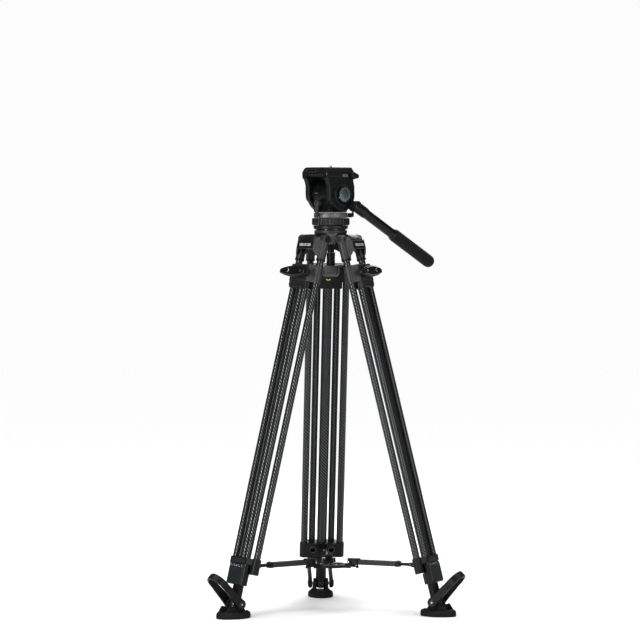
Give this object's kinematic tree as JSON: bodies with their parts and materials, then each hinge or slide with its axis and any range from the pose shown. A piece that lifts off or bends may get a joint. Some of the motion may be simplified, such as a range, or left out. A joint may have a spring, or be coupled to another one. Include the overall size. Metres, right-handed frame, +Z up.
{
  "type": "tripod with fluid head",
  "caption": "Video tripod with twin-tube carbon legs, mid-level spreader, levelling bowl and a fluid head with pan bar.",
  "frame": {"origin": "centre of the object's outline on the floor", "axes": "+Z up, +Y towards the rear leg, +X to the right seen from the front"},
  "size_m": [0.656, 0.5762, 1.115],
  "materials": {
    "black casting": "satin black powder coat",
    "black plastic": "moulded, fine texture",
    "blue grey cover": "moulded, fine texture",
    "carbon tube": "2x2 twill carbon fibre under clear resin",
    "dial": "blue-grey anodised",
    "machined ring": "turned, dark anodised",
    "rubber": "matte",
    "steel": "turned"
  },
  "bodies": {
    "crown": {"crown": "black casting"},
    "levelling_ball": {"half_ball": "black casting"},
    "tie_down": {"tie_down_knob": "black plastic"},
    "pan_ring": {"pan_drag_ring": "black plastic"},
    "pan_turret": {"pan_base": "machined ring", "tilt_drum": "black casting"},
    "pan_lock": {"pan_lock_lever": "black plastic"},
    "tilt_lock": {"tilt_lock_lever": "black plastic"},
    "dial": {"drag_dial": "dial"},
    "cradle": {"tilt_cradle": "black casting"},
    "plate": {"slide_plate": "black plastic"},
    "screw": {"camera_screw": "steel"},
    "clamp_knob": {"plate_lock_knob": "black plastic"},
    "release_button": {"plate_release_button": "black plastic"},
    "pan_bar": {"bar_clamp": "black casting", "pan_bar": "black plastic", "pan_grip": "rubber"},
    "leg_1": {"leg_1_yoke": "black casting", "leg_1_outer_tube_a": "carbon tube", "leg_1_outer_tube_b": "carbon tube", "leg_1_upper_collar": "black casting", "leg_1_spreader_collar": "black casting"},
    "leg_1_paddle": {"leg_1_paddle": "black plastic"},
    "leg_1_stage_2": {"leg_1_inner_tube_a": "carbon tube", "leg_1_inner_tube_b": "carbon tube", "leg_1_sleeve": "blue grey cover"},
    "leg_1_stage_3": {"leg_1_centre_tube": "carbon tube"},
    "leg_1_foot": {"leg_1_rubber_foot": "rubber"},
    "leg_1_bail": {"leg_1_foot_bail": "black plastic"},
    "spreader_rod_1": {"spreader_rod_1": "black plastic"},
    "spreader_arm_1": {"spreader_arm_1": "black plastic"},
    "leg_2": {"leg_2_yoke": "black casting", "leg_2_outer_tube_a": "carbon tube", "leg_2_outer_tube_b": "carbon tube", "leg_2_upper_collar": "black casting", "leg_2_spreader_collar": "black casting"},
    "leg_2_paddle": {"leg_2_paddle": "black plastic"},
    "leg_2_stage_2": {"leg_2_inner_tube_a": "carbon tube", "leg_2_inner_tube_b": "carbon tube", "leg_2_sleeve": "blue grey cover"},
    "leg_2_stage_3": {"leg_2_centre_tube": "carbon tube"},
    "leg_2_foot": {"leg_2_rubber_foot": "rubber"},
    "leg_2_bail": {"leg_2_foot_bail": "black plastic"},
    "spreader_rod_2": {"spreader_rod_2": "black plastic"},
    "spreader_arm_2": {"spreader_arm_2": "black plastic"},
    "leg_3": {"leg_3_yoke": "black casting", "leg_3_outer_tube_a": "carbon tube", "leg_3_outer_tube_b": "carbon tube", "leg_3_upper_collar": "black casting", "leg_3_spreader_collar": "black casting"},
    "leg_3_paddle": {"leg_3_paddle": "black plastic"},
    "leg_3_stage_2": {"leg_3_inner_tube_a": "carbon tube", "leg_3_inner_tube_b": "carbon tube", "leg_3_sleeve": "blue grey cover"},
    "leg_3_stage_3": {"leg_3_centre_tube": "carbon tube"},
    "leg_3_foot": {"leg_3_rubber_foot": "rubber"},
    "leg_3_bail": {"leg_3_foot_bail": "black plastic"},
    "spreader_rod_3": {"spreader_rod_3": "black plastic"},
    "spreader_arm_3": {"spreader_arm_3": "black plastic"},
    "spreader_hub": {"spreader_hub": "black plastic"}
  },
  "joints": [
    {"name": "levelling_ball_tilt", "type": "hinge", "parent": "crown", "child": "levelling_ball", "pos_m": [0, -0.08475, 0.962], "axis": [1, 0, 0], "range_deg": [-4, 4]},
    {"name": "tie_down_knob_turn", "type": "hinge", "parent": "levelling_ball", "child": "tie_down", "pos_m": [0, -0.08475, 0.865], "axis": [0, 0, 1], "range_deg": [0, 720]},
    {"name": "pan_drag_ring_turn", "type": "hinge", "parent": "levelling_ball", "child": "pan_ring", "pos_m": [0, -0.08475, 0.97], "axis": [0, 0, 1], "range_deg": [-60, 60]},
    {"name": "pan", "type": "hinge", "parent": "levelling_ball", "child": "pan_turret", "pos_m": [0, -0.08475, 0.984], "axis": [0, 0, 1], "continuous": true},
    {"name": "pan_lock_lever_turn", "type": "hinge", "parent": "pan_turret", "child": "pan_lock", "pos_m": [0.04287, -0.08625, 0.9905], "axis": [0.9994, -0.0349, 0], "range_deg": [-70, 0]},
    {"name": "tilt_lock_lever_turn", "type": "hinge", "parent": "pan_turret", "child": "tilt_lock", "pos_m": [-0.03164, -0.1113, 1.021], "axis": [-0.766, -0.6428, 0], "range_deg": [-10, 45]},
    {"name": "drag_dial_turn", "type": "hinge", "parent": "pan_turret", "child": "dial", "pos_m": [0.0304, -0.12098, 1.042], "axis": [0.6428, -0.766, 0], "range_deg": [-135, 135]},
    {"name": "tilt", "type": "hinge", "parent": "pan_turret", "child": "cradle", "pos_m": [0, -0.08475, 1.042], "axis": [0.6428, -0.766, 0], "range_deg": [-20, 50]},
    {"name": "plate_slide", "type": "slide", "parent": "cradle", "child": "plate", "axis": [-0.766, -0.6428, 0], "range_m": [-0.03, 0.03]},
    {"name": "camera_screw_turn", "type": "hinge", "parent": "plate", "child": "screw", "pos_m": [0, -0.08475, 1.0972], "axis": [0, 0, 1], "continuous": true},
    {"name": "plate_lock_knob_turn", "type": "hinge", "parent": "cradle", "child": "clamp_knob", "pos_m": [0.05094, -0.09879, 1.089], "axis": [0.6428, -0.766, 0], "range_deg": [-70, 0]},
    {"name": "plate_release_button_press", "type": "slide", "parent": "cradle", "child": "release_button", "axis": [0.6428, -0.766, 0], "range_m": [0, 0.003], "stiffness_N_per_m": 400},
    {"name": "pan_bar_angle", "type": "hinge", "parent": "cradle", "child": "pan_bar", "pos_m": [0.06071, -0.10887, 1.013], "axis": [-0.6428, 0.766, 0], "range_deg": [-90, 20]},
    {"name": "leg_1_swing", "type": "hinge", "parent": "crown", "child": "leg_1", "pos_m": [0, -0.05025, 0.928], "axis": [1, 0, 0], "range_deg": [-12.5, 0]},
    {"name": "leg_1_paddle_lift", "type": "hinge", "parent": "leg_1", "child": "leg_1_paddle", "pos_m": [0, 0.0142, 0.86108], "axis": [1, 0, 0], "range_deg": [0, 45]},
    {"name": "leg_1_stage_2_slide", "type": "slide", "parent": "leg_1", "child": "leg_1_stage_2", "axis": [0, 0.2521, -0.9677], "range_m": [0, 0.35]},
    {"name": "leg_1_stage_3_slide", "type": "slide", "parent": "leg_1_stage_2", "child": "leg_1_stage_3", "axis": [0, 0.2521, -0.9677], "range_m": [0, 0.35]},
    {"name": "leg_1_ankle", "type": "hinge", "parent": "leg_1_stage_3", "child": "leg_1_foot", "pos_m": [0, 0.20448, 0.03538], "axis": [1, 0, 0], "range_deg": [-13, 13]},
    {"name": "leg_1_bail_swing", "type": "hinge", "parent": "leg_1_foot", "child": "leg_1_bail", "pos_m": [0, 0.20448, 0.03538], "axis": [-1, 0, 0], "range_deg": [-20, 30]},
    {"name": "spreader_rod_1_fold", "type": "hinge", "parent": "leg_1", "child": "spreader_rod_1", "pos_m": [0, 0.14418, 0.12405], "axis": [1, 0, 0], "range_deg": [-79.28, 0]},
    {"name": "spreader_arm_1_slide", "type": "slide", "parent": "spreader_rod_1", "child": "spreader_arm_1", "axis": [0, -1, 0], "range_m": [-0.0221, 0]},
    {"name": "leg_2_swing", "type": "hinge", "parent": "crown", "child": "leg_2", "pos_m": [-0.02988, -0.102, 0.928], "axis": [-0.5, 0.866, 0], "range_deg": [-12.5, 0]},
    {"name": "leg_2_paddle_lift", "type": "hinge", "parent": "leg_2", "child": "leg_2_paddle", "pos_m": [-0.08569, -0.13422, 0.86108], "axis": [-0.5, 0.866, 0], "range_deg": [0, 45]},
    {"name": "leg_2_stage_2_slide", "type": "slide", "parent": "leg_2", "child": "leg_2_stage_2", "axis": [-0.2183, -0.126, -0.9677], "range_m": [0, 0.35]},
    {"name": "leg_2_stage_3_slide", "type": "slide", "parent": "leg_2_stage_2", "child": "leg_2_stage_3", "axis": [-0.2183, -0.126, -0.9677], "range_m": [0, 0.35]},
    {"name": "leg_2_ankle", "type": "hinge", "parent": "leg_2_stage_3", "child": "leg_2_foot", "pos_m": [-0.25048, -0.22936, 0.03538], "axis": [-0.5, 0.866, 0], "range_deg": [-13, 13]},
    {"name": "leg_2_bail_swing", "type": "hinge", "parent": "leg_2_foot", "child": "leg_2_bail", "pos_m": [-0.25048, -0.22936, 0.03538], "axis": [0.5, -0.866, 0], "range_deg": [-20, 30]},
    {"name": "spreader_rod_2_fold", "type": "hinge", "parent": "leg_2", "child": "spreader_rod_2", "pos_m": [-0.19826, -0.19922, 0.12405], "axis": [-0.5, 0.866, 0], "range_deg": [-79.28, 0]},
    {"name": "spreader_arm_2_slide", "type": "slide", "parent": "spreader_rod_2", "child": "spreader_arm_2", "axis": [0.866, 0.5, 0], "range_m": [-0.0221, 0]},
    {"name": "leg_3_swing", "type": "hinge", "parent": "crown", "child": "leg_3", "pos_m": [0.02988, -0.102, 0.928], "axis": [-0.5, -0.866, 0], "range_deg": [-12.5, 0]},
    {"name": "leg_3_paddle_lift", "type": "hinge", "parent": "leg_3", "child": "leg_3_paddle", "pos_m": [0.08569, -0.13422, 0.86108], "axis": [-0.5, -0.866, 0], "range_deg": [0, 45]},
    {"name": "leg_3_stage_2_slide", "type": "slide", "parent": "leg_3", "child": "leg_3_stage_2", "axis": [0.2183, -0.126, -0.9677], "range_m": [0, 0.35]},
    {"name": "leg_3_stage_3_slide", "type": "slide", "parent": "leg_3_stage_2", "child": "leg_3_stage_3", "axis": [0.2183, -0.126, -0.9677], "range_m": [0, 0.35]},
    {"name": "leg_3_ankle", "type": "hinge", "parent": "leg_3_stage_3", "child": "leg_3_foot", "pos_m": [0.25048, -0.22936, 0.03538], "axis": [-0.5, -0.866, 0], "range_deg": [-13, 13]},
    {"name": "leg_3_bail_swing", "type": "hinge", "parent": "leg_3_foot", "child": "leg_3_bail", "pos_m": [0.25048, -0.22936, 0.03538], "axis": [0.5, 0.866, 0], "range_deg": [-20, 30]},
    {"name": "spreader_rod_3_fold", "type": "hinge", "parent": "leg_3", "child": "spreader_rod_3", "pos_m": [0.19826, -0.19922, 0.12405], "axis": [-0.5, -0.866, 0], "range_deg": [-79.28, 0]},
    {"name": "spreader_arm_3_slide", "type": "slide", "parent": "spreader_rod_3", "child": "spreader_arm_3", "axis": [-0.866, 0.5, 0], "range_m": [-0.0221, 0]},
    {"name": "spreader_hub_rise", "type": "slide", "parent": "crown", "child": "spreader_hub", "axis": [0, 0, 1], "range_m": [0, 0.1291]}
  ],
  "couplings": [
    {"joint": "leg_2_swing", "follows": "leg_1_swing", "ratio": 1},
    {"joint": "leg_3_swing", "follows": "leg_1_swing", "ratio": 1},
    {"joint": "spreader_rod_1_fold", "follows": "leg_1_swing", "ratio": 6.3414},
    {"joint": "spreader_arm_1_slide", "follows": "leg_1_swing", "m_per_rad": 0.10084},
    {"joint": "spreader_rod_2_fold", "follows": "leg_1_swing", "ratio": 6.3414},
    {"joint": "spreader_arm_2_slide", "follows": "leg_1_swing", "m_per_rad": 0.10084},
    {"joint": "spreader_rod_3_fold", "follows": "leg_1_swing", "ratio": 6.3414},
    {"joint": "spreader_arm_3_slide", "follows": "leg_1_swing", "m_per_rad": 0.10084},
    {"joint": "spreader_hub_rise", "follows": "leg_1_swing", "m_per_rad": -0.59075}
  ]
}
